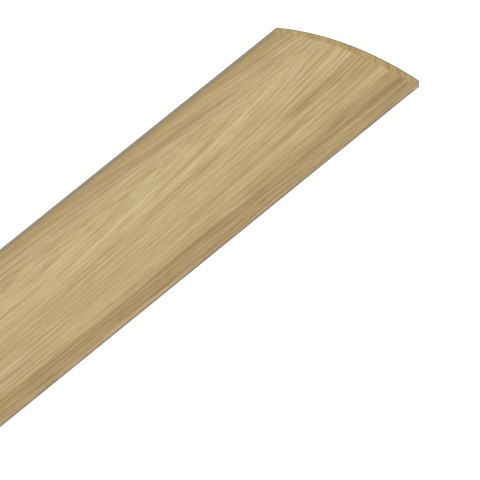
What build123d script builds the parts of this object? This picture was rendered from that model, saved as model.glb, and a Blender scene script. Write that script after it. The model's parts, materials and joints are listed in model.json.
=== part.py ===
from build123d import *

import os
from math import sqrt

# Threshold strip with hidden fixings, in millimetres.
# Origin: centre of the strip, on the floor. +X across the strip, +Y along it, +Z up.
# The feet stand on the floor at z = 0, and the dowels reach below it.

# ---- driving dimensions -------------------------------------------------------------------

STRIP_LENGTH = 930.0
STRIP_WIDTH = 40.0
CROWN_HEIGHT = 4.6
EDGE_HEIGHT = 1.85
CORNER_RADIUS = 0.35

FOIL_THICKNESS = 0.25
FOIL_HEM_HEIGHT = 0.2
SEAM_LIP_WIDTH = 1.7

ARCH_THICKNESS = 1.3
FOOT_WIDTH = 2.4

CHANNEL_WIDTH = 8.7
CHANNEL_MOUTH = 4.7
CHANNEL_LIP_THICKNESS = 1.15
CHANNEL_WALL = 1.2

CAP_FLANGE = 2.4
CAP_EDGE_CHAMFER = 0.15
CAP_TONGUE_LENGTH = 14.0
CAP_TONGUE_GAP = 1.0
CAP_TONGUE_LIFT = 0.2
CAP_TONGUE_TAPER = 0.4

FOAM_WIDTH = 6.0
FOAM_CENTRE_X = 11.0
FOAM_END_GAP = 3.0

FIXING_COUNT = 7
FIXING_PITCH = 130.0

PIN_RADIUS = 2.0
PIN_HEAD_RADIUS = 4.0
PIN_HEAD_THICKNESS = 1.3
PIN_HEAD_PLAY = 0.3
PIN_HEAD_EDGE = 0.3
PIN_RING_TOP = -5.5
PIN_RING_PITCH = 1.5
PIN_RING_COUNT = 7
PIN_RING_DEPTH = 0.3
PIN_RING_FLANK = 0.25 * PIN_RING_PITCH
PIN_TIP = -18.0

DOWEL_RADIUS = 3.0
DOWEL_BORE = PIN_RADIUS + 0.05
DOWEL_TOP = -0.3
DOWEL_PLAIN_LENGTH = 8.0
DOWEL_BARB_RADIUS = 2.95
DOWEL_ROOT_RADIUS = 2.6
DOWEL_BARB_PITCH = 2.1
DOWEL_BARB_COUNT = 4
DOWEL_BARB_REST = 0.4 * DOWEL_BARB_PITCH
DOWEL_BARB_TIP = 0.6 * DOWEL_BARB_PITCH
DOWEL_NOSE_LENGTH = 2.8
DOWEL_NOSE_RADIUS = 2.45
DOWEL_RIM = 0.25
DOWEL_SLOT_WIDTH = 0.9
DOWEL_SLOT_LENGTH = 12.0
SLOT_CUT_OVERRUN = 0.5

# ---- worked out from the driving dimensions -----------------------------------------------

half_width = STRIP_WIDTH / 2
profile_half_length = STRIP_LENGTH / 2 - CAP_FLANGE
rise = CROWN_HEIGHT - EDGE_HEIGHT
dome_radius = (half_width**2 + rise**2) / (2 * rise)
dome_centre_z = CROWN_HEIGHT - dome_radius
metal_radius = dome_radius - FOIL_THICKNESS
hollow_radius = metal_radius - ARCH_THICKNESS
metal_half_width = half_width - FOIL_THICKNESS
hollow_crown = dome_centre_z + hollow_radius
foot_inner_x = half_width - FOOT_WIDTH
channel_outer_x = CHANNEL_WIDTH / 2 + CHANNEL_WALL
seam_x = -half_width + SEAM_LIP_WIDTH


def arch_z(x, radius):
    """Height of a cylinder face of the arch above the floor, at x across the strip."""
    return dome_centre_z + sqrt(radius**2 - x**2)


def arch_arc(x_from, x_to, radius):
    """Arc of the arch in the cross-section, drawn in the sketch that is open."""
    x_mid = (x_from + x_to) / 2
    return ThreePointArc(
        (x_from, arch_z(x_from, radius)),
        (x_mid, arch_z(x_mid, radius)),
        (x_to, arch_z(x_to, radius)),
    )


def save(piece, label):
    """Label a finished piece and write it to parts/."""
    piece.part.label = label
    export_step(piece.part, f"parts/{label}.step")


os.makedirs("parts", exist_ok=True)

# ---- cover_profile: extruded aluminium arch, feet, seam lip and T-channel ------------------

with BuildPart() as cover_profile:
    with BuildSketch(Plane.XZ):
        # arch under the foil, full height at the seam lip on the -X edge
        with BuildLine():
            Line((-half_width, 0), (-half_width, EDGE_HEIGHT))
            arch_arc(-half_width, seam_x, dome_radius)
            Line((seam_x, arch_z(seam_x, dome_radius)), (seam_x, arch_z(seam_x, metal_radius)))
            arch_arc(seam_x, metal_half_width, metal_radius)
            Line((metal_half_width, arch_z(metal_half_width, metal_radius)), (metal_half_width, 0))
            Line((metal_half_width, 0), (-half_width, 0))
        make_face()
        top_corners = vertices().group_by(Axis.X)[0].sort_by(Axis.Y)[-1:]
        top_corners += vertices().group_by(Axis.X)[-1].sort_by(Axis.Y)[-1:]
        fillet(top_corners, radius=CORNER_RADIUS - FOIL_THICKNESS)
        # the hollow between each foot and the channel
        for side in (-1, 1):
            with BuildLine():
                Line((side * channel_outer_x, 0), (side * foot_inner_x, 0))
                Line((side * foot_inner_x, 0), (side * foot_inner_x, arch_z(foot_inner_x, hollow_radius)))
                arch_arc(side * foot_inner_x, side * channel_outer_x, hollow_radius)
                Line(
                    (side * channel_outer_x, arch_z(channel_outer_x, hollow_radius)),
                    (side * channel_outer_x, 0),
                )
            make_face(mode=Mode.SUBTRACT)
        # T-channel: a wide room for the pin heads above a narrower mouth
        with Locations((0, (CHANNEL_LIP_THICKNESS + hollow_crown) / 2)):
            Rectangle(CHANNEL_WIDTH, hollow_crown - CHANNEL_LIP_THICKNESS, mode=Mode.SUBTRACT)
        with Locations((0, CHANNEL_LIP_THICKNESS / 2)):
            Rectangle(CHANNEL_MOUTH, CHANNEL_LIP_THICKNESS, mode=Mode.SUBTRACT)
    extrude(amount=profile_half_length, both=True)
save(cover_profile, "cover_profile")

# ---- decor_foil: oak foil from the seam lip over the dome and down the +X edge --------------

with BuildPart() as decor_foil:
    with BuildSketch(Plane.XZ):
        with BuildLine():
            arch_arc(seam_x, half_width, dome_radius)
            Line((half_width, EDGE_HEIGHT), (half_width, FOIL_HEM_HEIGHT))
            Line((half_width, FOIL_HEM_HEIGHT), (metal_half_width, FOIL_HEM_HEIGHT))
            Line(
                (metal_half_width, FOIL_HEM_HEIGHT),
                (metal_half_width, arch_z(metal_half_width, metal_radius)),
            )
            arch_arc(metal_half_width, seam_x, metal_radius)
            Line((seam_x, arch_z(seam_x, metal_radius)), (seam_x, arch_z(seam_x, dome_radius)))
        make_face()
        inner_corner = vertices().group_by(Axis.X)[-2].sort_by(Axis.Y)[-1:]
        fillet(inner_corner, radius=CORNER_RADIUS - FOIL_THICKNESS)
        outer_corner = vertices().group_by(Axis.X)[-1].sort_by(Axis.Y)[-1:]
        fillet(outer_corner, radius=CORNER_RADIUS)
    extrude(amount=profile_half_length, both=True)
save(decor_foil, "decor_foil")

# ---- end caps: a flange flush with the dome, and two tongues that plug the hollows ----------

tongue_inner_x = channel_outer_x + CAP_TONGUE_GAP / 2
tongue_outer_x = foot_inner_x - CAP_TONGUE_GAP

with BuildPart() as end_cap_far:
    with BuildSketch(Plane.XZ.offset(-profile_half_length)):
        with BuildLine():
            arch_arc(-half_width, half_width, dome_radius)
            Line((half_width, EDGE_HEIGHT), (half_width, 0))
            Line((half_width, 0), (-half_width, 0))
            Line((-half_width, 0), (-half_width, EDGE_HEIGHT))
        make_face()
        fillet(vertices().group_by(Axis.Y)[1], radius=CORNER_RADIUS)
    extrude(amount=-CAP_FLANGE)
    outer_end = faces().sort_by(Axis.Y)[-1]
    chamfer(outer_end.edges().filter_by(GeomType.CIRCLE), length=CAP_EDGE_CHAMFER)
    with BuildSketch(Plane.XZ.offset(-profile_half_length)):
        for side in (-1, 1):
            with BuildLine():
                Line((side * tongue_inner_x, CAP_TONGUE_LIFT), (side * tongue_outer_x, CAP_TONGUE_LIFT))
                Line(
                    (side * tongue_outer_x, CAP_TONGUE_LIFT),
                    (side * tongue_outer_x, arch_z(tongue_outer_x, hollow_radius)),
                )
                arch_arc(side * tongue_outer_x, side * tongue_inner_x, hollow_radius)
                Line(
                    (side * tongue_inner_x, arch_z(tongue_inner_x, hollow_radius)),
                    (side * tongue_inner_x, CAP_TONGUE_LIFT),
                )
            make_face()
    extrude(amount=CAP_TONGUE_LENGTH)
    tongue_ends = faces().sort_by(Axis.Y)[:2]
    chamfer(tongue_ends.edges().filter_by(Axis.X), length=CAP_TONGUE_TAPER)
save(end_cap_far, "end_cap_far")

with BuildPart() as end_cap_near:
    mirror(end_cap_far.part, about=Plane.XZ)
save(end_cap_near, "end_cap_near")

# ---- foam strips: bonded under the arch, one in each hollow ---------------------------------

foam_half_length = profile_half_length - CAP_TONGUE_LENGTH - FOAM_END_GAP

for side, side_name in ((-1, "left"), (1, "right")):
    inner_x = side * (FOAM_CENTRE_X - FOAM_WIDTH / 2)
    outer_x = side * (FOAM_CENTRE_X + FOAM_WIDTH / 2)
    with BuildPart() as foam_strip:
        with BuildSketch(Plane.XZ):
            with BuildLine():
                Line((inner_x, 0), (outer_x, 0))
                Line((outer_x, 0), (outer_x, arch_z(outer_x, hollow_radius)))
                arch_arc(outer_x, inner_x, hollow_radius)
                Line((inner_x, arch_z(inner_x, hollow_radius)), (inner_x, 0))
            make_face()
        extrude(amount=foam_half_length, both=True)
    save(foam_strip, f"foam_strip_{side_name}")

# ---- fixings: a ring-shank pin with its head in the channel, and its nylon dowel ------------

head_bottom = CHANNEL_LIP_THICKNESS + PIN_HEAD_PLAY
head_top = head_bottom + PIN_HEAD_THICKNESS

# half outline of the pin, from the top of the head to the tip
pin_outline = [
    (0, head_top),
    (PIN_HEAD_RADIUS - PIN_HEAD_EDGE, head_top),
    (PIN_HEAD_RADIUS, head_top - PIN_HEAD_EDGE),
    (PIN_HEAD_RADIUS, head_bottom + PIN_HEAD_EDGE),
    (PIN_HEAD_RADIUS - PIN_HEAD_EDGE, head_bottom),
    (PIN_RADIUS, head_bottom),
]
for ring in range(PIN_RING_COUNT):
    ring_z = PIN_RING_TOP - ring * PIN_RING_PITCH
    pin_outline += [(PIN_RADIUS, ring_z), (PIN_RADIUS - PIN_RING_DEPTH, ring_z - PIN_RING_FLANK)]
pin_outline += [
    (PIN_RADIUS, PIN_RING_TOP - PIN_RING_COUNT * PIN_RING_PITCH),
    (0, PIN_TIP),
]

# half outline of the dowel wall, down the outside and back up the bore
dowel_outline = [
    (DOWEL_BORE + DOWEL_RIM, DOWEL_TOP),
    (DOWEL_RADIUS - DOWEL_RIM, DOWEL_TOP),
    (DOWEL_RADIUS, DOWEL_TOP - DOWEL_RIM),
]
barb_top = DOWEL_TOP - DOWEL_RIM - DOWEL_PLAIN_LENGTH
dowel_outline.append((DOWEL_RADIUS, barb_top))
for barb in range(DOWEL_BARB_COUNT):
    barb_z = barb_top - barb * DOWEL_BARB_PITCH
    dowel_outline.append((DOWEL_ROOT_RADIUS, barb_z))
    dowel_outline.append((DOWEL_ROOT_RADIUS, barb_z - DOWEL_BARB_REST))
    dowel_outline.append((DOWEL_BARB_RADIUS, barb_z - DOWEL_BARB_TIP))
nose_top = barb_top - DOWEL_BARB_COUNT * DOWEL_BARB_PITCH
dowel_outline += [
    (DOWEL_ROOT_RADIUS, nose_top),
    (DOWEL_NOSE_RADIUS, nose_top - DOWEL_NOSE_LENGTH),
    (DOWEL_BORE, nose_top - DOWEL_NOSE_LENGTH),
    (DOWEL_BORE, DOWEL_TOP - DOWEL_RIM),
]
dowel_bottom = nose_top - DOWEL_NOSE_LENGTH

for index in range(FIXING_COUNT):
    y = (index - (FIXING_COUNT - 1) / 2) * FIXING_PITCH
    fixing_axis = Axis((0, y, 0), (0, 0, 1))

    with BuildPart() as fixing_pin:
        with BuildSketch(Plane.XZ.offset(-y)):
            with BuildLine():
                Polyline(pin_outline, close=True)
            make_face()
        revolve(axis=fixing_axis)
    save(fixing_pin, f"fixing_pin_{index + 1}")

    with BuildPart() as dowel:
        with BuildSketch(Plane.XZ.offset(-y)):
            with BuildLine():
                Polyline(dowel_outline, close=True)
            make_face()
        revolve(axis=fixing_axis)
        # the lower half is split into two legs that spread as the pin goes in
        with BuildSketch(Plane.XY.offset(dowel_bottom)):
            with Locations((0, y)):
                Rectangle(2 * (DOWEL_RADIUS + SLOT_CUT_OVERRUN), DOWEL_SLOT_WIDTH)
        extrude(amount=DOWEL_SLOT_LENGTH, mode=Mode.SUBTRACT)
    save(dowel, f"dowel_{index + 1}")
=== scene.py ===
"""Looks of the threshold strip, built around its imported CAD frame. Metres, +Z up."""

import json
from math import cos, pi, radians, sin, sqrt, tan

import bmesh
import bpy
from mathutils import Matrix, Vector, noise


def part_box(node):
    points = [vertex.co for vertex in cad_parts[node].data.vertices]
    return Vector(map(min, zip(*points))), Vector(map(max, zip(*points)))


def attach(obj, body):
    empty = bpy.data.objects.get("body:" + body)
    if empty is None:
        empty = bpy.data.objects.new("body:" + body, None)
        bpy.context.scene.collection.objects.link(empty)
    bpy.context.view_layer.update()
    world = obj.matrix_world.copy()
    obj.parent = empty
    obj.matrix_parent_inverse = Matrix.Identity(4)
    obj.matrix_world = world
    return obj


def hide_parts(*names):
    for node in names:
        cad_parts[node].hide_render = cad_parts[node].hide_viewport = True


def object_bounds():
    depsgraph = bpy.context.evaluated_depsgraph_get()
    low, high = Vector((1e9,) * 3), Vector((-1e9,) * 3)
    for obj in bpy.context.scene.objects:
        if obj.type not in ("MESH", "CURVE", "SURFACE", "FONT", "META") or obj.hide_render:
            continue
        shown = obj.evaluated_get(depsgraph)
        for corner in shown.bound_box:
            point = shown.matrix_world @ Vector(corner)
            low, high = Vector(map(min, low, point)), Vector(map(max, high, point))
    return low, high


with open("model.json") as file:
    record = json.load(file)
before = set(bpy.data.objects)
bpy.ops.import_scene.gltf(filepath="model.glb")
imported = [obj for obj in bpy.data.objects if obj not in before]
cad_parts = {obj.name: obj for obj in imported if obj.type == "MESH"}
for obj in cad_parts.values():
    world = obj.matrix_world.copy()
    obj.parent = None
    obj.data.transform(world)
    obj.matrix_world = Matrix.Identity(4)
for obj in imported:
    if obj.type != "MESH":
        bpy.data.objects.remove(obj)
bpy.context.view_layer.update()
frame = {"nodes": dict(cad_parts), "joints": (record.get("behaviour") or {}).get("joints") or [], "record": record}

MM = 0.001
record = frame["record"]
pins = sorted(name for name in frame["nodes"] if name.startswith("fixing_pin_"))
dowels = sorted(name for name in frame["nodes"] if name.startswith("dowel_"))

# ---- sizes of the strip's outside ---------------------------------------------------------

cap_low, cap_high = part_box("end_cap_far")
foil_low, foil_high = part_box("decor_foil")
cover_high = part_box("cover_profile")[1]

HALF_WIDTH = cap_high[0]
CROWN = cap_high[2]
STRIP_END = cap_high[1]
PROFILE_END = cover_high[1]
SEAM_X = foil_low[0]
FOIL_HEM_Z = foil_low[2]
FOIL_THICKNESS = foil_high[2] - cover_high[2]
# two sizes that no box gives, as in the CAD's source
EDGE_HEIGHT = 1.85 * MM
CORNER_RADIUS = 0.35 * MM
DOME_RISE = CROWN - EDGE_HEIGHT
DOME_RADIUS = (HALF_WIDTH**2 + DOME_RISE**2) / (2 * DOME_RISE)
DOME_CENTRE_Z = CROWN - DOME_RADIUS


def dome_z(x, radius=DOME_RADIUS):
    """Height of the dome, or of a surface parallel to it, at x across the strip."""
    return DOME_CENTRE_Z + sqrt(radius**2 - x**2)


# ---- small helpers ------------------------------------------------------------------------

SHARP_ANGLE = radians(35.0)


def srgb(red, green, blue):
    """A colour given as 0 to 255 display values, as the linear values that a shader takes."""

    def linear(value):
        value = value / 255
        return value / 12.92 if value <= 0.04045 else ((value + 0.055) / 1.055) ** 2.4

    return (linear(red), linear(green), linear(blue), 1.0)


def new_object(name, bm, material, smooth=True):
    """A mesh object from a finished bmesh."""
    bmesh.ops.recalc_face_normals(bm, faces=bm.faces)
    mesh = bpy.data.meshes.new(name)
    bm.to_mesh(mesh)
    bm.free()
    for polygon in mesh.polygons:
        polygon.use_smooth = smooth
    mesh.materials.append(material)
    piece = bpy.data.objects.new(name, mesh)
    bpy.context.scene.collection.objects.link(piece)
    return piece


def sharpen(piece):
    """Smooth shading that keeps the edges sharper than SHARP_ANGLE."""
    piece.data.set_sharp_from_angle(angle=SHARP_ANGLE)


def turns(whole, steps):
    """Angles from 0 to whole in equal steps, both ends included."""
    return [whole * step / steps for step in range(steps + 1)]


def bridge(bm, ring, following):
    """Faces between two closed rings of vertices; a ring at a pole is one vertex repeated."""
    for index in range(len(ring)):
        after = (index + 1) % len(ring)
        corners = (ring[index], ring[after], following[after], following[index])
        bm.faces.new(list(dict.fromkeys(corners)))


# ---- shader nodes -------------------------------------------------------------------------


class Nodes:
    """A thin wrapper for writing node trees in a few words."""

    def __init__(self, name):
        self.material = bpy.data.materials.new(name)
        self.material.use_nodes = True
        self.tree = self.material.node_tree
        self.tree.nodes.clear()
        self.output = self.tree.nodes.new("ShaderNodeOutputMaterial")
        self.shader = self.tree.nodes.new("ShaderNodeBsdfPrincipled")
        self.link(self.shader.outputs[0], self.output.inputs["Surface"])
        coordinates = self.tree.nodes.new("ShaderNodeTexCoord")
        self.place = coordinates.outputs["Object"]
        split = self.tree.nodes.new("ShaderNodeSeparateXYZ")
        self.link(self.place, split.inputs[0])
        self.x, self.y, self.z = split.outputs

    def link(self, source, target):
        self.tree.links.new(source, target)

    def feed(self, socket, value):
        if isinstance(value, bpy.types.NodeSocket):
            self.link(value, socket)
        else:
            socket.default_value = value

    def math(self, operation, a, b=0.0):
        node = self.tree.nodes.new("ShaderNodeMath")
        node.operation = operation
        for socket, value in zip(node.inputs, (a, b)):
            self.feed(socket, value)
        return node.outputs[0]

    def add(self, a, b):
        return self.math("ADD", a, b)

    def minus(self, a, b):
        return self.math("SUBTRACT", a, b)

    def times(self, a, b):
        return self.math("MULTIPLY", a, b)

    def away(self, value, centre):
        """How far value is from centre, on either side."""
        return self.math("ABSOLUTE", self.minus(value, centre))

    def part(self, pattern, amount):
        """A pattern of 0 to 1 as a swing about zero, amount wide."""
        return self.times(self.minus(pattern, 0.5), amount)

    def vector(self, x, y, z):
        node = self.tree.nodes.new("ShaderNodeCombineXYZ")
        for socket, value in zip(node.inputs, (x, y, z)):
            self.feed(socket, value)
        return node.outputs[0]

    def stretched(self, x_rate, y_rate, z_rate):
        """The piece's own coordinates, each at its own rate."""
        rates = (x_rate, y_rate, z_rate)
        axes = (self.x, self.y, self.z)
        return self.vector(*(self.times(axis, rate) for axis, rate in zip(axes, rates)))

    def noise(self, vector, scale=1.0, detail=3.0, roughness=0.55):
        node = self.tree.nodes.new("ShaderNodeTexNoise")
        self.link(vector, node.inputs["Vector"])
        node.inputs["Scale"].default_value = scale
        node.inputs["Detail"].default_value = detail
        node.inputs["Roughness"].default_value = roughness
        return node.outputs["Fac"]

    def span(self, value, low, high, out_low=0.0, out_high=1.0):
        """value from low..high mapped smoothly to out_low..out_high."""
        node = self.tree.nodes.new("ShaderNodeMapRange")
        node.interpolation_type = "SMOOTHSTEP"
        for socket, number in zip(node.inputs, (value, low, high, out_low, out_high)):
            self.feed(socket, number)
        return node.outputs[0]

    def ramp(self, value, stops):
        """stops: (position, colour) pairs."""
        node = self.tree.nodes.new("ShaderNodeValToRGB")
        self.link(value, node.inputs[0])
        elements = node.color_ramp.elements
        while len(elements) < len(stops):
            elements.new(0.5)
        for element, (position, colour) in zip(elements, stops):
            element.position = position
            element.color = colour
        return node.outputs[0]

    def mix(self, factor, a, b):
        node = self.tree.nodes.new("ShaderNodeMix")
        node.data_type = "RGBA"
        self.feed(node.inputs[0], factor)
        self.feed(node.inputs[6], a)
        self.feed(node.inputs[7], b)
        return node.outputs[2]

    def bump(self, height, distance, strength):
        node = self.tree.nodes.new("ShaderNodeBump")
        node.inputs["Distance"].default_value = distance
        node.inputs["Strength"].default_value = strength
        self.link(height, node.inputs["Height"])
        return node.outputs[0]

    def finish(self, colour, roughness, normal=None, metallic=0.0, **sockets):
        self.feed(self.shader.inputs["Base Color"], colour)
        self.feed(self.shader.inputs["Roughness"], roughness)
        self.shader.inputs["Metallic"].default_value = metallic
        if normal is not None:
            self.link(normal, self.shader.inputs["Normal"])
        for name, value in sockets.items():
            self.shader.inputs[name.replace("_", " ")].default_value = value
        return self.material


# ---- materials ----------------------------------------------------------------------------


# The oak is flat-sawn: its grain makes long nested arches round a heart line, which runs on the
# -X side of the middle.
HEART_X = -7.6 * MM
HEART_WIDTH = 0.4 * MM
GRAIN_SWAY = 12.0 * MM
GRAIN_PERIOD = 0.65
GRAIN_WANDER = 2.4 * MM
# these far from the heart, on its +X side, the sway starts to fade and has ended
STRAIGHT_FROM = 7.0 * MM
STRAIGHT_AT = 26.0 * MM
# how fast the noise changes from side to side, besides across the grain
SIDE_RATE = 70

# Places across the strip of the print's larger features, and of the band of painted light on the dome.
# the middle of the band of painted light on the dome's lit side, left of the crown
PAINTED_LIGHT_X = -2.5 * MM
PATCH_X = 5.9 * MM
STREAK_X = 16.6 * MM
VEIN_X = 16.8 * MM
ZONE_DRIFT = 7.0 * MM


def grain_coordinates(n):
    """Across-the-grain, along-the-grain and side coordinates of the oak, in metres.

    Across grows on both sides of the heart line, over the dome and on down the edge. The side
    coordinate keeps the two sides of the heart from being mirror images.
    """
    along = n.minus(STRIP_END, n.y)
    side = n.minus(n.x, HEART_X)
    spread = n.math("SQRT", n.add(n.times(side, side), HEART_WIDTH**2))
    drop = n.minus(CROWN, n.z)
    sway = n.times(n.math("SINE", n.times(along, 2 * pi / GRAIN_PERIOD)), GRAIN_SWAY)
    sway = n.times(sway, n.span(side, STRAIGHT_FROM, STRAIGHT_AT, 1.0, 0.0))
    wander = n.noise(n.vector(n.times(n.x, 60), n.times(along, 12), 0.0), detail=2.0)
    across = n.add(n.minus(n.add(spread, drop), sway), n.part(wander, GRAIN_WANDER))
    return across, along, n.times(side, SIDE_RATE)


def oak_foil():
    """Printed light-oak foil: fine arched streaks, darker bands, pores and a satin lacquer."""
    n = Nodes("oak_foil")
    across, along, side = grain_coordinates(n)

    def grain(across_rate, along_rate, seed, detail=2.0, roughness=0.5):
        seeded_side = n.add(side, seed)
        place = n.vector(n.times(across, across_rate), n.times(along, along_rate), seeded_side)
        return n.noise(place, detail=detail, roughness=roughness)

    lines = grain(1350, 22, 0.0)
    threads = grain(3000, 62, 14.0, roughness=0.6)
    streaks = grain(520, 11, 27.0)
    bands = grain(160, 7, 39.0, detail=1.0)
    pores = grain(2500, 170, 52.0, detail=1.0)
    blush = grain(150, 12, 64.0, detail=1.0)

    # the arches fade out before they close at the heart, where short flecks take over
    arched = n.span(n.away(n.x, HEART_X), 0.4 * MM, 4.2 * MM, 0.08, 1.0)
    fleck_place = n.vector(n.times(n.x, 1500), n.times(along, 90), 3.0)
    flecks = n.noise(fleck_place, detail=3.0, roughness=0.65)
    fine = n.add(n.part(lines, 0.74), n.part(threads, 0.74))
    broad = n.add(n.part(streaks, 0.36), n.part(bands, 0.2))
    tone = n.times(n.add(fine, broad), arched)
    tone = n.add(tone, n.times(n.part(flecks, 1.0), n.minus(1.3, arched)))

    # painted light and shade: lighter near the middle of the dome, darker where it slopes to both edges and on
    # the +X edge's roll; then a dark vein on the +X side. Each row has a coordinate, its two limits in mm, and the
    # change of tone at and beyond each.
    # The rows that go by the zone drift a little along the strip.
    drift = n.part(n.noise(n.vector(n.times(along, 14), 7.0, 0.0), detail=2.0), ZONE_DRIFT)
    zone = n.add(n.x, drift)
    for place, low, high, at_low, at_high in (
        (n.away(n.x, PAINTED_LIGHT_X), 2.0, 7.0, 0.09, 0.0),
        (zone, 13.0, 18.0, 0.0, -0.18),
        (n.x, 19.3, 19.9, 0.0, -0.10),
        (n.x, -18.6, -15.0, -0.24, 0.0),
        (zone, -13.0, -9.0, -0.09, 0.0),
        (n.away(zone, VEIN_X), 0.2, 1.6, -0.09, 0.0),
    ):
        tone = n.add(tone, n.span(place, low * MM, high * MM, at_low, at_high))
    # a darker patch near the far end
    patch = n.span(n.away(n.x, PATCH_X), 0.6 * MM, 2.2 * MM, -0.11, 0.0)
    tone = n.add(tone, n.times(patch, n.span(along, 24 * MM, 44 * MM, 1.0, 0.0)))
    tone = n.add(tone, 0.53)
    colour = n.ramp(
        tone,
        [
            (0.10, srgb(143, 117, 75)),
            (0.34, srgb(167, 142, 98)),
            (0.52, srgb(184, 160, 114)),
            (0.70, srgb(198, 175, 131)),
            (0.90, srgb(210, 189, 147)),
        ],
    )
    # yellower near the -X edge, as painted shade on the dome's slope there, and a reddish blush that grows towards
    # the +X edge
    colour = n.mix(n.span(n.x, -17.5 * MM, -13.0 * MM, 0.55, 0.0), colour, srgb(172, 147, 90))
    redness = n.times(n.span(blush, 0.56, 0.72), n.span(n.x, 4.0 * MM, 14.0 * MM, 0.12, 0.35))
    colour = n.mix(redness, colour, srgb(163, 130, 94))
    # one mineral streak near the far end
    mineral = n.span(n.away(n.x, STREAK_X), 0.2 * MM, 2.0 * MM, 0.62, 0.0)
    mineral = n.times(mineral, n.span(threads, 0.38, 0.6, 0.25, 1.0))
    mineral = n.times(mineral, n.span(along, 2 * MM, 6 * MM))
    mineral = n.times(mineral, n.span(along, 12 * MM, 28 * MM, 1.0, 0.0))
    colour = n.mix(mineral, colour, srgb(148, 118, 90))
    pore_mask = n.span(pores, 0.58, 0.68)
    colour = n.mix(n.times(pore_mask, 0.2), colour, srgb(136, 110, 70))
    # the cut hem at the foot of the edge wall, darkened both as the cut edge and as painted shade at the wall's
    # foot; and a painted highlight along the roll above it
    colour = n.mix(n.span(n.z, 0.4 * MM, 0.8 * MM, 0.8, 0.0), colour, srgb(98, 84, 64))
    painted_edge_lighting = n.times(n.span(n.x, 19.5 * MM, 19.75 * MM), n.span(n.z, 1.2 * MM, 1.6 * MM))
    painted_edge_lighting = n.times(painted_edge_lighting, n.span(threads, 0.4, 0.7, 0.0, 0.15))
    colour = n.mix(painted_edge_lighting, colour, srgb(200, 180, 140))
    relief = n.add(n.times(lines, 0.5), n.times(threads, 0.35))
    relief = n.minus(relief, n.times(pore_mask, 0.4))
    normal = n.bump(relief, 0.05 * MM, 0.5)
    roughness = n.span(threads, 0.3, 0.7, 0.64, 0.52)
    return n.finish(colour, roughness, normal, Specular_IOR_Level=0.25)


# how far the cap's ticks lean towards -X for each metre along +Y
TICK_SLANT = 0.677


def cap_plastic():
    """Moulded, oak-tinted end cap: yellower than the foil, with short ticks and a satin skin."""
    n = Nodes("end_cap")
    slant = n.add(n.x, n.times(n.y, TICK_SLANT))
    ticks = n.noise(n.vector(n.times(slant, 2500), n.times(n.y, 90), n.times(n.z, 90)), detail=2.0)
    patches = n.noise(n.vector(n.times(slant, 320), 3.0, 5.0), detail=1.0)
    tone = n.add(n.add(n.part(ticks, 1.15), n.part(patches, 0.35)), 0.5)
    colour = n.ramp(
        tone,
        [
            (0.12, srgb(137, 111, 63)),
            (0.42, srgb(166, 141, 88)),
            (0.60, srgb(180, 155, 100)),
            (0.88, srgb(198, 174, 121)),
        ],
    )
    fine = n.noise(n.place, 2600.0, detail=2.0)
    # painted shade: the flange's outer corner is darker and greyer, and its wall on the +X side a little
    # less; on the -X side the grey carries on from the bare lip
    end = n.math("ABSOLUTE", n.y)
    rim = n.span(end, STRIP_END - 0.7 * MM, STRIP_END - 0.25 * MM, 0.0, 0.8)
    wall = n.span(n.x, HALF_WIDTH - 0.5 * MM, HALF_WIDTH - 0.1 * MM, 0.0, 0.35)
    lip = n.span(n.x, -HALF_WIDTH + 0.5 * MM, -HALF_WIDTH + 1.3 * MM, 0.75, 0.0)
    painted_edge_shade_and_lip_grey = n.math("MAXIMUM", n.math("MAXIMUM", rim, wall), lip)
    colour = n.mix(painted_edge_shade_and_lip_grey, colour, srgb(126, 113, 90))
    normal = n.bump(n.add(ticks, n.times(fine, 0.4)), 0.05 * MM, 0.5)
    roughness = n.span(fine, 0.3, 0.7, 0.5, 0.62)
    return n.finish(colour, roughness, normal, Specular_IOR_Level=0.25)


def extruded_metal():
    """Champagne-anodised extrusion: die lines along the length and a soft satin."""
    n = Nodes("champagne_aluminium")
    lines = n.noise(n.stretched(2600, 3, 2600), roughness=0.6)
    cloud = n.noise(n.stretched(60, 14, 60))
    tone = n.add(n.times(lines, 0.45), n.times(cloud, 0.55))
    colour = n.ramp(
        tone,
        [
            (0.30, srgb(122, 115, 101)),
            (0.55, srgb(138, 130, 114)),
            (0.75, srgb(152, 144, 127)),
        ],
    )
    # lacquer from the foil's edge warms the bare lip beside the seam
    seam = n.span(n.x, -HALF_WIDTH + 0.3 * MM, SEAM_X, 0.0, 0.75)
    seam = n.times(seam, n.span(n.x, SEAM_X + 0.2 * MM, SEAM_X + 0.4 * MM, 1.0, 0.0))
    colour = n.mix(seam, colour, srgb(146, 125, 90))
    # painted shade: the lip's outer corner is darker
    painted_edge_lighting = n.span(n.x, -HALF_WIDTH + 0.1 * MM, -HALF_WIDTH + 0.5 * MM, 0.6, 0.0)
    colour = n.mix(painted_edge_lighting, colour, srgb(104, 100, 92))
    normal = n.bump(lines, 0.02 * MM, 0.5)
    roughness = n.span(cloud, 0.3, 0.7, 0.36, 0.52)
    return n.finish(colour, roughness, normal, metallic=0.55, Specular_IOR_Level=0.5)


def foam():
    """Closed-cell sealing foam: dark, with open cut cells."""
    n = Nodes("foam")
    cells = n.tree.nodes.new("ShaderNodeTexVoronoi")
    n.link(n.place, cells.inputs["Vector"])
    cells.inputs["Scale"].default_value = 2400.0
    speckle = n.noise(n.place, 900.0)
    tone = n.add(n.times(cells.outputs["Distance"], 0.6), n.times(speckle, 0.5))
    colour = n.ramp(tone, [(0.2, srgb(34, 34, 36)), (0.7, srgb(64, 64, 67))])
    normal = n.bump(tone, 0.12 * MM, 0.8)
    roughness = n.span(speckle, 0.3, 0.7, 0.85, 0.97)
    return n.finish(colour, roughness, normal, Specular_IOR_Level=0.2)


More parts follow.
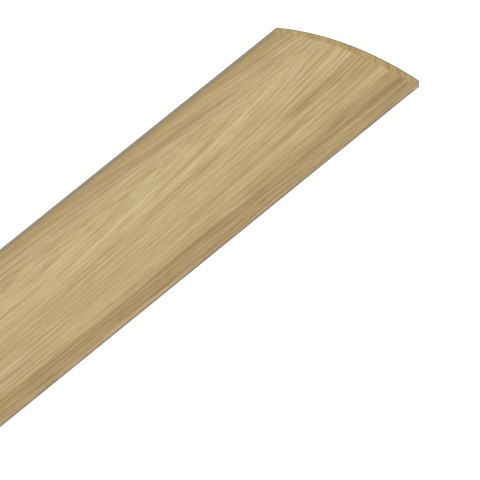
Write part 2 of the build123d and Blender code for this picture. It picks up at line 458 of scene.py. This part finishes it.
def zinc_steel():
    """Zinc-plated steel: bright, slightly blotched, with drawing marks round the shank."""
    n = Nodes("zinc_steel")
    marks = n.noise(n.stretched(500, 500, 5200), detail=2.0)
    blotch = n.noise(n.place, 420.0)
    tone = n.add(n.times(marks, 0.4), n.times(blotch, 0.6))
    colour = n.ramp(
        tone,
        [
            (0.3, srgb(150, 152, 158)),
            (0.55, srgb(184, 187, 192)),
            (0.8, srgb(206, 208, 210)),
        ],
    )
    normal = n.bump(marks, 0.02 * MM, 0.5)
    return n.finish(colour, n.span(blotch, 0.3, 0.7, 0.26, 0.44), normal, metallic=1.0)


def nylon():
    """Grey moulded nylon: faintly mottled, with a soft sheen."""
    n = Nodes("nylon")
    flow = n.noise(n.stretched(300, 300, 120))
    skin = n.noise(n.place, 5200.0, detail=2.0)
    colour = n.ramp(flow, [(0.3, srgb(150, 152, 153)), (0.7, srgb(176, 178, 178))])
    normal = n.bump(skin, 0.03 * MM, 0.6)
    roughness = n.span(skin, 0.3, 0.7, 0.42, 0.56)
    return n.finish(colour, roughness, normal, Subsurface_Weight=0.05)


def floor_paint():
    """Plain pale floor."""
    n = Nodes("stage_floor")
    soft = n.noise(n.place, 3.0, detail=2.0)
    colour = n.ramp(soft, [(0.3, (0.94, 0.94, 0.94, 1)), (0.7, (0.955, 0.955, 0.955, 1))])
    glow = {"Emission_Color": (1, 1, 1, 1), "Emission_Strength": 0.42}
    return n.finish(colour, 0.9, Specular_IOR_Level=0.0, **glow)


OAK = oak_foil()
CAP = cap_plastic()
METAL = extruded_metal()
FOAM = foam()
STEEL = zinc_steel()
NYLON = nylon()

SLOT_MATERIALS = {
    "champagne_aluminium": METAL,
    "oak_foil": OAK,
    "end_cap": CAP,
    "foam": FOAM,
    "zinc_steel": STEEL,
    "nylon": NYLON,
}
for subpart in record["subparts"]:
    node = frame["nodes"][subpart["node"]]
    node.data.materials.clear()
    node.data.materials.append(SLOT_MATERIALS[subpart["material_slot"]])

# ---- cross-sections -----------------------------------------------------------------------


def evenly(first, last, count):
    """count numbers from first to last, both included, evenly spaced."""
    return [first + (last - first) * step / (count - 1) for step in range(count)]


def arc(x_from, x_to, radius, count):
    """Points of an arc of the arch in the cross-section, as (x, z)."""
    return [(x, dome_z(x, radius)) for x in evenly(x_from, x_to, count)]


def rounded(points, radii, steps=4):
    """A closed outline with some corners rounded: radii maps a point's index to its radius."""
    outline = []
    for index, corner in enumerate(points):
        if index not in radii:
            outline.append(corner)
            continue
        here = Vector(corner)
        before = (Vector(points[index - 1]) - here).normalized()
        after = (Vector(points[(index + 1) % len(points)]) - here).normalized()
        half = before.angle(after) / 2
        reach = radii[index] / tan(half)
        centre = here + (before + after).normalized() * (radii[index] / sin(half))
        first, last = here + before * reach - centre, here + after * reach - centre
        for step in range(steps + 1):
            arm = first.lerp(last, step / steps).normalized() * radii[index]
            outline.append(tuple(centre + arm))
    return outline


def inset(outline, distance):
    """A closed outline moved inwards by distance; the outline runs anticlockwise."""
    moved = []
    for index, point in enumerate(outline):
        along = Vector(outline[(index + 1) % len(outline)]) - Vector(outline[index - 1])
        inwards = Vector((-along.y, along.x)).normalized()
        moved.append(tuple(Vector(point) + inwards * distance))
    return moved


def loft(name, sections, material):
    """A closed solid through (y, outline) sections, with flat ends."""
    bm = bmesh.new()
    rings = [[bm.verts.new((x, y, z)) for x, z in outline] for y, outline in sections]
    for ring, following in zip(rings, rings[1:]):
        bridge(bm, ring, following)
    bm.faces.new(reversed(rings[0]))
    bm.faces.new(rings[-1])
    piece = new_object(name, bm, material)
    sharpen(piece)
    return piece


def combine(piece, other, operation):
    """piece joined with, or cut by, other, which is removed."""
    modifier = piece.modifiers.new("combine", "BOOLEAN")
    modifier.operation = operation
    modifier.solver = "EXACT"
    modifier.object = other
    scene_state = bpy.context.evaluated_depsgraph_get()
    mesh = bpy.data.meshes.new_from_object(piece.evaluated_get(scene_state))
    piece.modifiers.clear()
    piece.data = mesh
    bpy.data.objects.remove(other)
    sharpen(piece)


def stand_for(piece, node):
    """piece takes a CAD node's place and body."""
    bodies = record["behaviour"]["bodies"]
    body = next(name for name, nodes in bodies.items() if node in nodes)
    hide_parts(node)
    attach(piece, body)


# ---- the aluminium extrusion --------------------------------------------------------------

METAL_RADIUS = DOME_RADIUS - FOIL_THICKNESS
ARCH_THICKNESS = 1.3 * MM
HOLLOW_RADIUS = METAL_RADIUS - ARCH_THICKNESS
HOLLOW_CROWN = DOME_CENTRE_Z + HOLLOW_RADIUS
METAL_EDGE_X = cover_high[0]
FOOT_INNER_X = HALF_WIDTH - 2.4 * MM
CHANNEL_X = 4.35 * MM
CHANNEL_WALL_X = 5.55 * MM
CHANNEL_MOUTH_X = 2.35 * MM
CHANNEL_LIP_Z = 1.15 * MM
DIE_RADIUS = 0.15 * MM
# how far the arcs of the cross-section stop short of its corners
HOLLOW_GAP = 1.0 * MM
EDGE_GAP = 0.5 * MM
SEAM_GAP = 0.3 * MM
HOLLOW_POINTS = 16
ARCH_POINTS = 60
LIP_POINTS = 6


def cover_outline():
    """Cross-section of the extrusion, anticlockwise from the foot on the -X side."""
    points, radii = [], {}

    def corner(x, z, radius=DIE_RADIUS):
        radii[len(points)] = radius
        points.append((x, z))

    def hollow(first_x, last_x):
        corner(first_x, 0)
        corner(first_x, dome_z(first_x, HOLLOW_RADIUS))
        points.extend(arc(first_x + HOLLOW_GAP, last_x - HOLLOW_GAP, HOLLOW_RADIUS, HOLLOW_POINTS))
        corner(last_x, dome_z(last_x, HOLLOW_RADIUS))
        corner(last_x, 0)

    corner(-HALF_WIDTH, 0)
    hollow(-FOOT_INNER_X, -CHANNEL_WALL_X)
    corner(-CHANNEL_MOUTH_X, 0)
    corner(-CHANNEL_MOUTH_X, CHANNEL_LIP_Z)
    corner(-CHANNEL_X, CHANNEL_LIP_Z)
    corner(-CHANNEL_X, HOLLOW_CROWN)
    corner(CHANNEL_X, HOLLOW_CROWN)
    corner(CHANNEL_X, CHANNEL_LIP_Z)
    corner(CHANNEL_MOUTH_X, CHANNEL_LIP_Z)
    corner(CHANNEL_MOUTH_X, 0)
    hollow(CHANNEL_WALL_X, FOOT_INNER_X)
    corner(METAL_EDGE_X, 0)
    corner(METAL_EDGE_X, dome_z(METAL_EDGE_X, METAL_RADIUS), CORNER_RADIUS - FOIL_THICKNESS)
    points.extend(arc(METAL_EDGE_X - EDGE_GAP, SEAM_X, METAL_RADIUS, ARCH_POINTS))
    points.append((SEAM_X, dome_z(SEAM_X)))
    points.extend(arc(SEAM_X - SEAM_GAP, -HALF_WIDTH + EDGE_GAP, DOME_RADIUS, LIP_POINTS))
    corner(-HALF_WIDTH, EDGE_HEIGHT, CORNER_RADIUS)
    return rounded(points, radii)


cover_section = cover_outline()
cover_ends = [(-PROFILE_END, cover_section), (PROFILE_END, cover_section)]
stand_for(loft("cover_extrusion", cover_ends, METAL), "cover_profile")

# ---- the oak foil -------------------------------------------------------------------------

RELIEF = 0.008 * MM
RELIEF_ACROSS = 1.5 * MM
RELIEF_ALONG = 42 * MM
FOIL_STATIONS = 260
FOIL_COLUMNS = 118
FOIL_BEND_STEPS = 6
FOIL_WALL_STEPS = 4
# how far the dome drops before the bend begins, as a share of the corner's radius
BEND_DROP = 0.12


def skin_path(radius, edge_x, corner_radius):
    """Open path over the dome and down the edge wall, from the seam to the hem."""
    centre_x = edge_x - corner_radius
    dome = arc(SEAM_X, centre_x, radius, FOIL_COLUMNS)
    centre_z = dome[-1][1] - (1 + BEND_DROP) * corner_radius
    bend = [
        (centre_x + corner_radius * sin(turn), centre_z + corner_radius * cos(turn))
        for turn in turns(pi / 2, FOIL_BEND_STEPS)[1:]
    ]
    wall = [(edge_x, z) for z in evenly(bend[-1][1], FOIL_HEM_Z, FOIL_WALL_STEPS + 1)[1:]]
    return dome + bend + wall


def grain_relief(x, z, y):
    """Height of the embossed grain, from 0 down to -RELIEF, along the printed grain."""
    along = STRIP_END - y
    side = x - HEART_X
    hold = min(max((side - STRAIGHT_FROM) / (STRAIGHT_AT - STRAIGHT_FROM), 0.0), 1.0)
    hold = 1 - hold**2 * (3 - 2 * hold)
    sway = GRAIN_SWAY * sin(along * 2 * pi / GRAIN_PERIOD) * hold
    across = sqrt(side**2 + HEART_WIDTH**2) + CROWN - z - sway
    place = Vector((across / RELIEF_ACROSS, along / RELIEF_ALONG, side * SIDE_RATE))
    return -RELIEF * (0.5 + 0.5 * noise.noise(place))


def oak_skin():
    """The foil as a thin closed shell, its face lightly embossed along the grain."""
    outer = skin_path(DOME_RADIUS, HALF_WIDTH, CORNER_RADIUS)
    inner = skin_path(METAL_RADIUS, METAL_EDGE_X, CORNER_RADIUS - FOIL_THICKNESS)
    bm = bmesh.new()
    rows = []
    for y in evenly(-PROFILE_END, PROFILE_END, FOIL_STATIONS + 1):
        face = []
        for index, (x, z) in enumerate(outer):
            before = outer[max(index - 1, 0)]
            after = outer[min(index + 1, len(outer) - 1)]
            outwards = Vector((before[1] - after[1], after[0] - before[0])).normalized()
            outwards *= grain_relief(x, z, y)
            face.append(bm.verts.new((x + outwards.x, y, z + outwards.y)))
        back_face = [bm.verts.new((x, y, z)) for x, z in inner]
        rows.append(face + list(reversed(back_face)))
    for row, following in zip(rows, rows[1:]):
        bridge(bm, row, following)
    for row in (rows[0], rows[-1]):
        for index in range(len(outer) - 1):
            bm.faces.new((row[index], row[index + 1], row[-2 - index], row[-1 - index]))
    piece = new_object("oak_skin", bm, OAK)
    sharpen(piece)
    return piece


stand_for(oak_skin(), "decor_foil")

# ---- the end caps -------------------------------------------------------------------------

TONGUE_LENGTH = cap_high[1] - cap_low[1] - (STRIP_END - PROFILE_END)
TONGUE_INNER_X = 6.05 * MM
TONGUE_OUTER_X = 16.6 * MM
TONGUE_Z = 0.2 * MM
TONGUE_POINTS = 12
TIP_SHRINK = 0.35 * MM
TIP_LENGTH = 0.8 * MM
# how far the tongues run on into the flange, so that the two join
TONGUE_OVERLAP = 0.6 * MM
CAP_EASE = 0.15 * MM
CAP_EASE_STEPS = 4
CAP_EDGE_GAP = 0.6 * MM
CAP_ARC_POINTS = 90
CAP_CORNER_STEPS = 6


def cap_outline():
    """Outline of the cap's flange, which is the whole strip's outline."""
    points = [(-HALF_WIDTH, 0), (HALF_WIDTH, 0), (HALF_WIDTH, EDGE_HEIGHT)]
    arc_end = HALF_WIDTH - CAP_EDGE_GAP
    points += arc(arc_end, -arc_end, DOME_RADIUS, CAP_ARC_POINTS)
    points.append((-HALF_WIDTH, EDGE_HEIGHT))
    radii = {0: DIE_RADIUS, 1: DIE_RADIUS, 2: CORNER_RADIUS, len(points) - 1: CORNER_RADIUS}
    return rounded(points, radii, steps=CAP_CORNER_STEPS)


def tongue_outline(side, shrink):
    """Outline of a tongue, shrunk a little at its tip so that it finds its hollow."""
    low_x, high_x = TONGUE_INNER_X + shrink, TONGUE_OUTER_X - shrink
    top = arc(high_x, low_x, HOLLOW_RADIUS - shrink, TONGUE_POINTS)
    outline = [(low_x, TONGUE_Z + shrink), (high_x, TONGUE_Z + shrink)] + top
    if side < 0:
        outline = [(-x, z) for x, z in reversed(outline)]
    return outline


def end_cap(name, end):
    """A cap for the end at y = end * STRIP_END: a flange, eased outside, and two tongues."""
    outline = cap_outline()
    sections = [(end * PROFILE_END, outline)]
    for turn in turns(pi / 2, CAP_EASE_STEPS):
        y = STRIP_END - CAP_EASE * (1 - sin(turn))
        sections.append((end * y, inset(outline, CAP_EASE * (1 - cos(turn)))))
    cap = loft(name, sections, CAP)
    tip = PROFILE_END - TONGUE_LENGTH
    for side in (-1, 1):
        tongue_sections = [
            (end * tip, tongue_outline(side, TIP_SHRINK)),
            (end * (tip + TIP_LENGTH), tongue_outline(side, 0.0)),
            (end * (PROFILE_END + TONGUE_OVERLAP), tongue_outline(side, 0.0)),
        ]
        combine(cap, loft("tongue", tongue_sections, CAP), "UNION")
    return cap


stand_for(end_cap("cap_far_moulding", 1), "end_cap_far")
stand_for(end_cap("cap_near_moulding", -1), "end_cap_near")

# ---- the sealing foam ---------------------------------------------------------------------

FOAM_STATIONS = 150
FOAM_COLUMNS = 12
FOAM_ROOF_POINTS = 8
FOAM_EASE = 0.3 * MM
# the uneven lower face: its height, the size of its bumps, and how far up the sides it fades
FOAM_LIFT = 0.12 * MM
FOAM_BUMP = 4 * MM
FOAM_FADE = 1.0 * MM


def foam_strip(name, node):
    """A foam strip with a slightly uneven lower face and soft corners."""
    low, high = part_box(node)
    face = [(x, 0.0) for x in evenly(low.x, high.x, FOAM_COLUMNS + 1)]
    roof = arc(high.x, low.x, HOLLOW_RADIUS, FOAM_ROOF_POINTS)
    outline = rounded(face + roof, {0: FOAM_EASE, FOAM_COLUMNS: FOAM_EASE})
    sections = []
    for y in evenly(low.y, high.y, FOAM_STATIONS + 1):
        uneven = []
        for x, z in outline:
            lift = 0.5 + 0.5 * noise.noise(Vector((x, y, 0)) / FOAM_BUMP)
            uneven.append((x, z + FOAM_LIFT * lift * max(0.0, 1 - z / FOAM_FADE)))
        sections.append((y, uneven))
    stand_for(loft(name, sections, FOAM), node)


foam_strip("foam_left", "foam_strip_left")
foam_strip("foam_right", "foam_strip_right")

# ---- pins and dowels ----------------------------------------------------------------------


LATHE_SEGMENTS = 40
LATHE_TURNS = [2 * pi * (step + 0.5) / LATHE_SEGMENTS for step in range(LATHE_SEGMENTS)]


def lathe(name, profile, y, material):
    """A turned solid about the vertical line at (0, y), from an outline of (radius, z) points.

    The outline is open if it starts and ends on the axis, and closed round a bore otherwise.
    """
    bm = bmesh.new()
    rings = []
    for radius, z in profile:
        if radius == 0:
            rings.append([bm.verts.new((0, y, z))] * LATHE_SEGMENTS)
            continue
        places = [(radius * cos(turn), y + radius * sin(turn), z) for turn in LATHE_TURNS]
        rings.append([bm.verts.new(place) for place in places])
    if profile[0][0] > 0:
        rings.append(rings[0])
    for ring, following in zip(rings, rings[1:]):
        bridge(bm, ring, following)
    piece = new_object(name, bm, material)
    sharpen(piece)
    return piece


PIN_RADIUS = 2.0 * MM
PIN_NECK_EASE = 0.15 * MM
PIN_RING_TOP = -5.5 * MM
PIN_RING_PITCH = 1.5 * MM
PIN_RING_COUNT = 7
# one ring: how deep the shank is cut in mm, and how far down the pitch
PIN_RING = ((0.0, 0.0), (0.26, 0.2), (0.3, 0.3), (0.14, 0.65))
PIN_TIP_RADIUS = 0.25 * MM
PIN_TIP_LENGTH = 0.2 * MM
HEAD_THICKNESS = 1.3 * MM
HEAD_EASE = 0.3 * MM
HEAD_EASE_STEPS = 4


def pin_profile(low, high):
    """Half outline of a pin from its head to its tip: flat head, neck, ringed shank, point."""
    head_radius = (high.x - low.x) / 2
    head_bottom = high.z - HEAD_THICKNESS
    quarter = turns(pi / 2, HEAD_EASE_STEPS)
    ease = [(HEAD_EASE * (1 - sin(turn)), HEAD_EASE * (1 - cos(turn))) for turn in quarter]
    profile = [(0, high.z)]
    profile += [(head_radius - inwards, high.z - down) for inwards, down in ease]
    profile += [(head_radius - inwards, head_bottom + up) for up, inwards in ease]
    profile.append((PIN_RADIUS + PIN_NECK_EASE, head_bottom))
    profile.append((PIN_RADIUS, head_bottom - PIN_NECK_EASE))
    for ring in range(PIN_RING_COUNT):
        z = PIN_RING_TOP - ring * PIN_RING_PITCH
        for cut, share in PIN_RING:
            profile.append((PIN_RADIUS - cut * MM, z - share * PIN_RING_PITCH))
    profile.append((PIN_RADIUS, PIN_RING_TOP - PIN_RING_COUNT * PIN_RING_PITCH))
    profile.append((PIN_TIP_RADIUS, low.z + PIN_TIP_LENGTH))
    profile.append((0, low.z))
    return profile


DOWEL_RADIUS = 3.0 * MM
DOWEL_BORE = 2.05 * MM
DOWEL_ROOT = 2.6 * MM
DOWEL_BARB = 2.95 * MM
DOWEL_PLAIN = 8.0 * MM
DOWEL_RIM = 0.25 * MM
# the middle point of the rim's round, in from both faces
DOWEL_RIM_MIDDLE = 0.07 * MM
DOWEL_BARB_PITCH = 2.1 * MM
DOWEL_BARB_COUNT = 4
# one barb: (radius, depth below the barb's top)
DOWEL_BARB_POINTS = (
    (DOWEL_ROOT + 0.05 * MM, 0.02 * MM),
    (DOWEL_ROOT, 0.1 * MM),
    (DOWEL_ROOT, 0.4 * DOWEL_BARB_PITCH),
    (DOWEL_BARB, 0.6 * DOWEL_BARB_PITCH),
    (DOWEL_BARB - 0.06 * MM, 0.68 * DOWEL_BARB_PITCH),
)
# the nose: (radius, height above the dowel's end)
DOWEL_NOSE_POINTS = ((2.5 * MM, 0.4 * MM), (2.4 * MM, 0.08 * MM), (2.25 * MM, 0.0))
DOWEL_SLOT = 0.9 * MM
DOWEL_SLOT_LENGTH = 12.0 * MM
SLOT_ROOT_STEPS = 8
# how far the cutter reaches beyond the dowel, below it and on both sides
CUTTER_REACH = 1.0 * MM


def dowel_profile(low, high):
    """Half outline of a dowel's wall: eased rim, plain collar, barbs, nose, and the bore."""
    rim_bottom = high.z - DOWEL_RIM
    barb_top = rim_bottom - DOWEL_PLAIN
    profile = [
        (DOWEL_BORE + DOWEL_RIM, high.z),
        (DOWEL_RADIUS - DOWEL_RIM, high.z),
        (DOWEL_RADIUS - DOWEL_RIM_MIDDLE, high.z - DOWEL_RIM_MIDDLE),
        (DOWEL_RADIUS, rim_bottom),
        (DOWEL_RADIUS, barb_top),
    ]
    for barb in range(DOWEL_BARB_COUNT):
        z = barb_top - barb * DOWEL_BARB_PITCH
        profile += [(radius, z - depth) for radius, depth in DOWEL_BARB_POINTS]
    profile.append((DOWEL_ROOT, barb_top - DOWEL_BARB_COUNT * DOWEL_BARB_PITCH))
    profile += [(radius, low.z + height) for radius, height in DOWEL_NOSE_POINTS]
    profile += [(DOWEL_BORE, low.z), (DOWEL_BORE, rim_bottom)]
    return profile


def slot_cutter(y, low_z):
    """The cutter that splits a dowel's lower half, with a round root."""
    half = DOWEL_SLOT / 2
    root_z = low_z + DOWEL_SLOT_LENGTH - half
    outline = [(-half, low_z - CUTTER_REACH), (half, low_z - CUTTER_REACH)]
    outline += [
        (half * cos(turn), root_z + half * sin(turn)) for turn in turns(pi, SLOT_ROOT_STEPS)
    ]
    bm = bmesh.new()
    reach = DOWEL_RADIUS + CUTTER_REACH
    ends = [[bm.verts.new((x, y + v, z)) for v, z in outline] for x in (-reach, reach)]
    bridge(bm, *ends)
    bm.faces.new(reversed(ends[0]))
    bm.faces.new(ends[1])
    return new_object("slot_cutter", bm, NYLON, smooth=False)


for node in pins:
    low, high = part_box(node)
    y = (low.y + high.y) / 2
    pin = lathe(node.replace("fixing_pin", "steel_pin"), pin_profile(low, high), y, STEEL)
    stand_for(pin, node)

for node in dowels:
    low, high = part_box(node)
    y = (low.y + high.y) / 2
    dowel = lathe(node.replace("dowel", "nylon_dowel"), dowel_profile(low, high), y, NYLON)
    combine(dowel, slot_cutter(y, low.z), "DIFFERENCE")
    stand_for(dowel, node)

# ---- stage, lights and camera -------------------------------------------------------------

# the floor lies below the lowest place that a dowel reaches when it is pulled off its pin
dowel_joints = [joint for joint in frame["joints"] if joint["name"].startswith("dowel_")]
PULL = max(joint["range_m"][1] for joint in dowel_joints)
FLOOR_GAP = 1 * MM
FLOOR_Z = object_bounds()[0].z - PULL - FLOOR_GAP
FLOOR_HALF = 9.0

floor_mesh = bmesh.new()
bmesh.ops.create_grid(floor_mesh, x_segments=2, y_segments=2, size=FLOOR_HALF)
bmesh.ops.translate(floor_mesh, vec=(0, 0, FLOOR_Z), verts=floor_mesh.verts)
floor = new_object("stage_floor", floor_mesh, floor_paint(), smooth=False)

world = bpy.data.worlds.new("studio")
world.use_nodes = True
background = world.node_tree.nodes["Background"]
background.inputs["Color"].default_value = (1.0, 1.0, 1.0, 1.0)
background.inputs["Strength"].default_value = 1.0
scene = bpy.context.scene
scene.world = world
scene.view_settings.view_transform = "Standard"
scene.view_settings.look = "None"


def soft_light(name, direction, distance, size, power):
    """A square area light that shines on the strip from a direction."""
    data = bpy.data.lights.new(name, "AREA")
    data.size = size
    data.energy = power
    lamp = bpy.data.objects.new(name, data)
    scene.collection.objects.link(lamp)
    towards = Vector(direction).normalized()
    lamp.location = towards * distance
    lamp.rotation_mode = "QUATERNION"
    lamp.rotation_quaternion = towards.to_track_quat("Z", "Y")


soft_light("key", direction=(-0.45, -0.25, 1.0), distance=4.0, size=3.0, power=11.0)
soft_light("fill", direction=(0.6, -0.9, 0.5), distance=5.0, size=3.0, power=4.0)

# The photograph's view: from the near end and the strip's +X side, 34 degrees up, on a place
# near the strip's far end, through a long lens.
VIEW_AZIMUTH = radians(34.26)
VIEW_ELEVATION = radians(33.63)
VIEW_DISTANCE = 4.864
SENSOR_WIDTH = 36.0
FOCAL_LENGTH = 1600.0
# the place looked at: beyond the +X edge, back from the far end, and above the strip's feet
TARGET_BEYOND = 3.67 * MM
TARGET_BACK = 78.96 * MM
TARGET_HEIGHT = 2.43 * MM
target = Vector((HALF_WIDTH + TARGET_BEYOND, STRIP_END - TARGET_BACK, TARGET_HEIGHT))
back = Vector(
    (
        sin(VIEW_AZIMUTH) * cos(VIEW_ELEVATION),
        -cos(VIEW_AZIMUTH) * cos(VIEW_ELEVATION),
        sin(VIEW_ELEVATION),
    )
)
camera_data = bpy.data.cameras.new("camera")
camera_data.sensor_width = SENSOR_WIDTH
camera_data.lens = FOCAL_LENGTH
camera_data.clip_start = 0.1
camera_data.clip_end = 100.0
camera = bpy.data.objects.new("camera", camera_data)
scene.collection.objects.link(camera)
camera.location = target + back * VIEW_DISTANCE
camera.rotation_mode = "QUATERNION"
camera.rotation_quaternion = back.to_track_quat("Z", "Y")
scene.camera = camera
